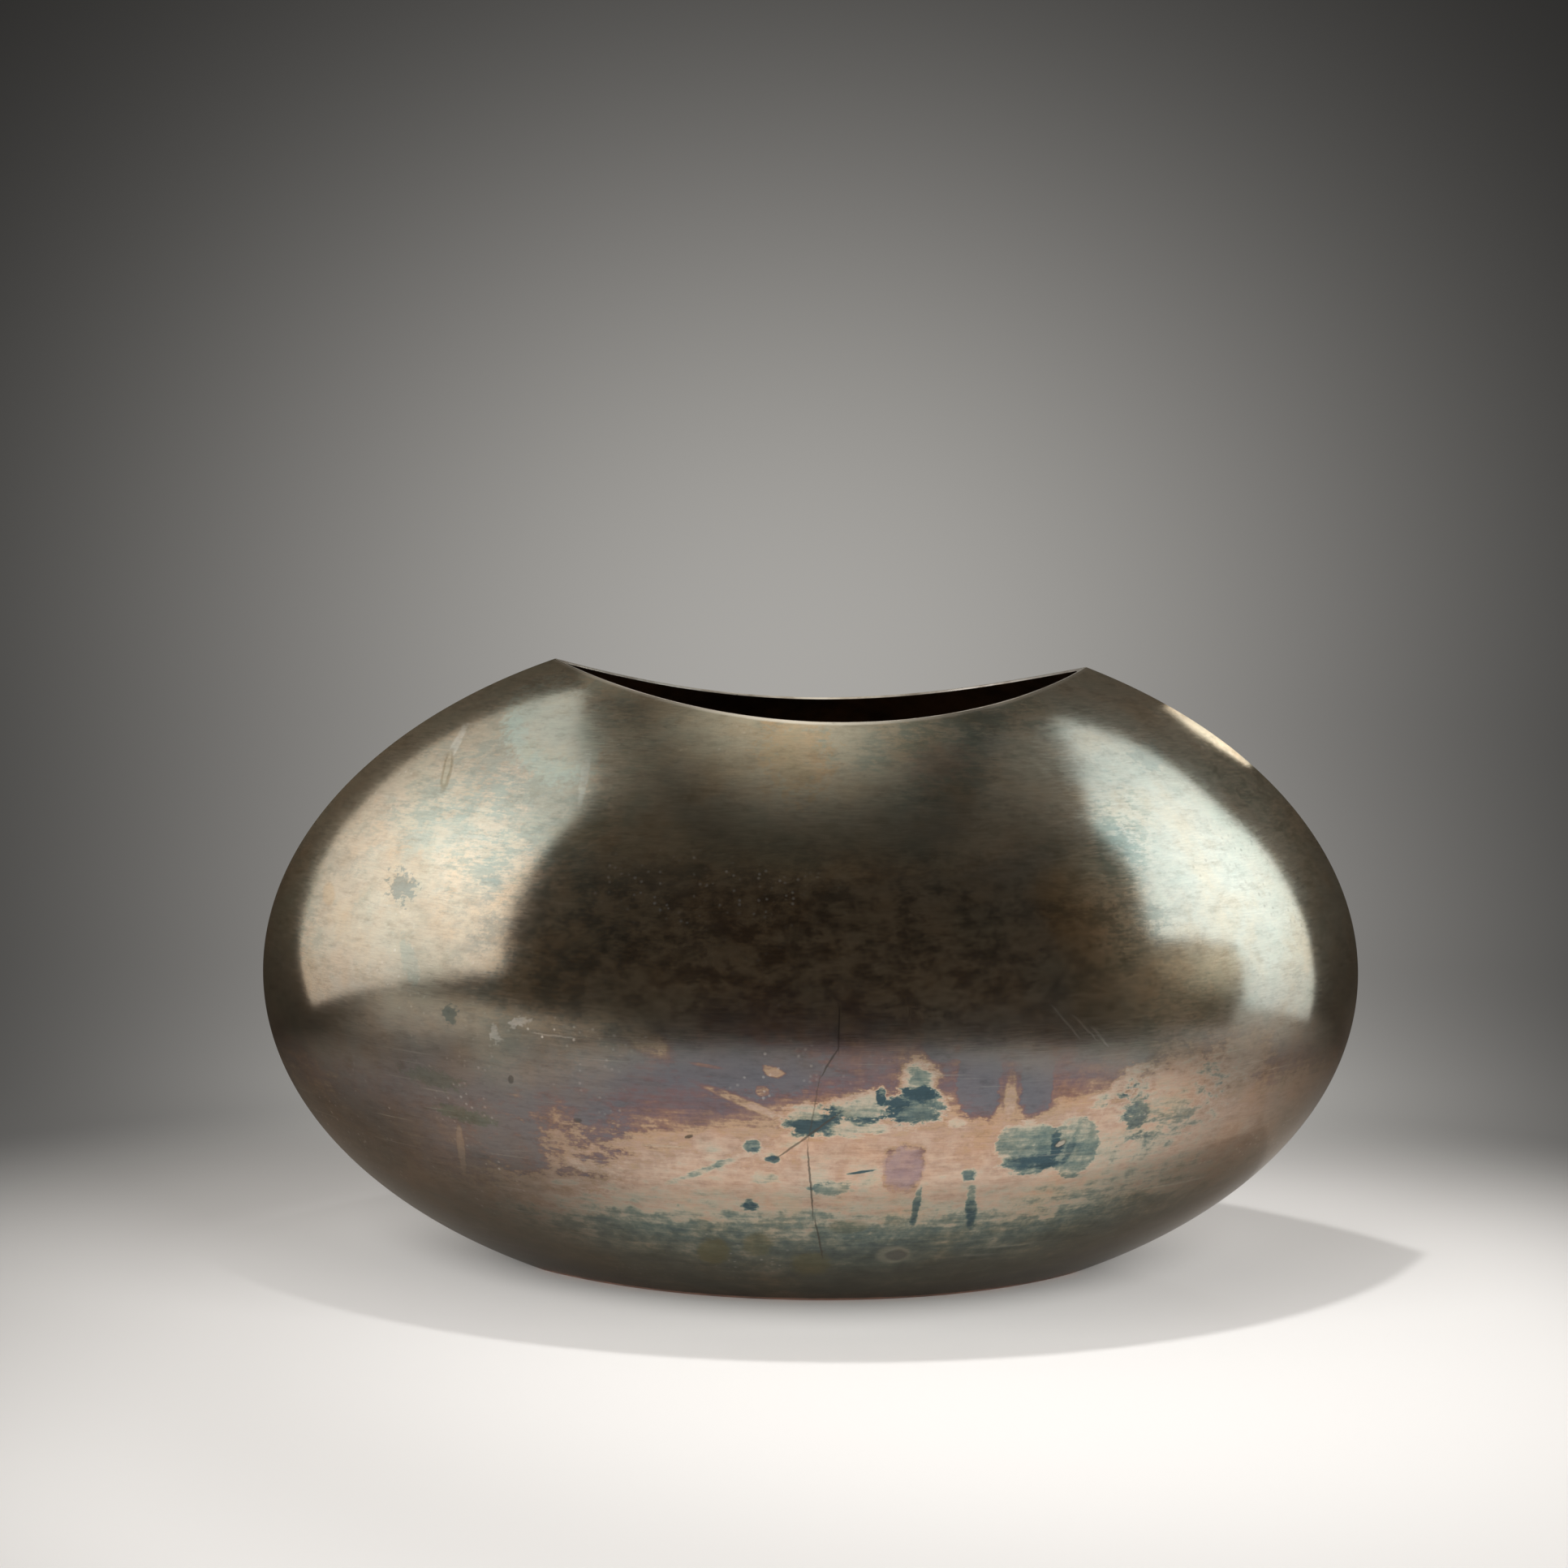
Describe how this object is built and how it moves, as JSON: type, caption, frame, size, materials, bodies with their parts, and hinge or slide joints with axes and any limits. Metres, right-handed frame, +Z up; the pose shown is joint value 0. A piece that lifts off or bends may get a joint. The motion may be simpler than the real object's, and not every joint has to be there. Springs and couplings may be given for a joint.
{
  "type": "metal vase",
  "caption": "Oval lens-shaped sheet metal vase of two domed shells soldered in a sharp seam on a flat foot plate, with a long crescent mouth swept out between two horns.",
  "frame": {"origin": "middle of the underside of the foot plate, on the surface that the vase stands on", "axes": "+Z up, +X along the long way of the oval to the viewer's right, the front faces -Y"},
  "size_m": [0.36, 0.2232, 0.2019],
  "materials": {
    "silver_plate": "satin silver plate on brass sheet, tarnished",
    "bare_brass": "worn, darkened brass sheet"
  },
  "bodies": {
    "root": {"front_shell": "silver_plate", "back_shell": "silver_plate", "base_plate": "bare_brass"}
  },
  "joints": []
}
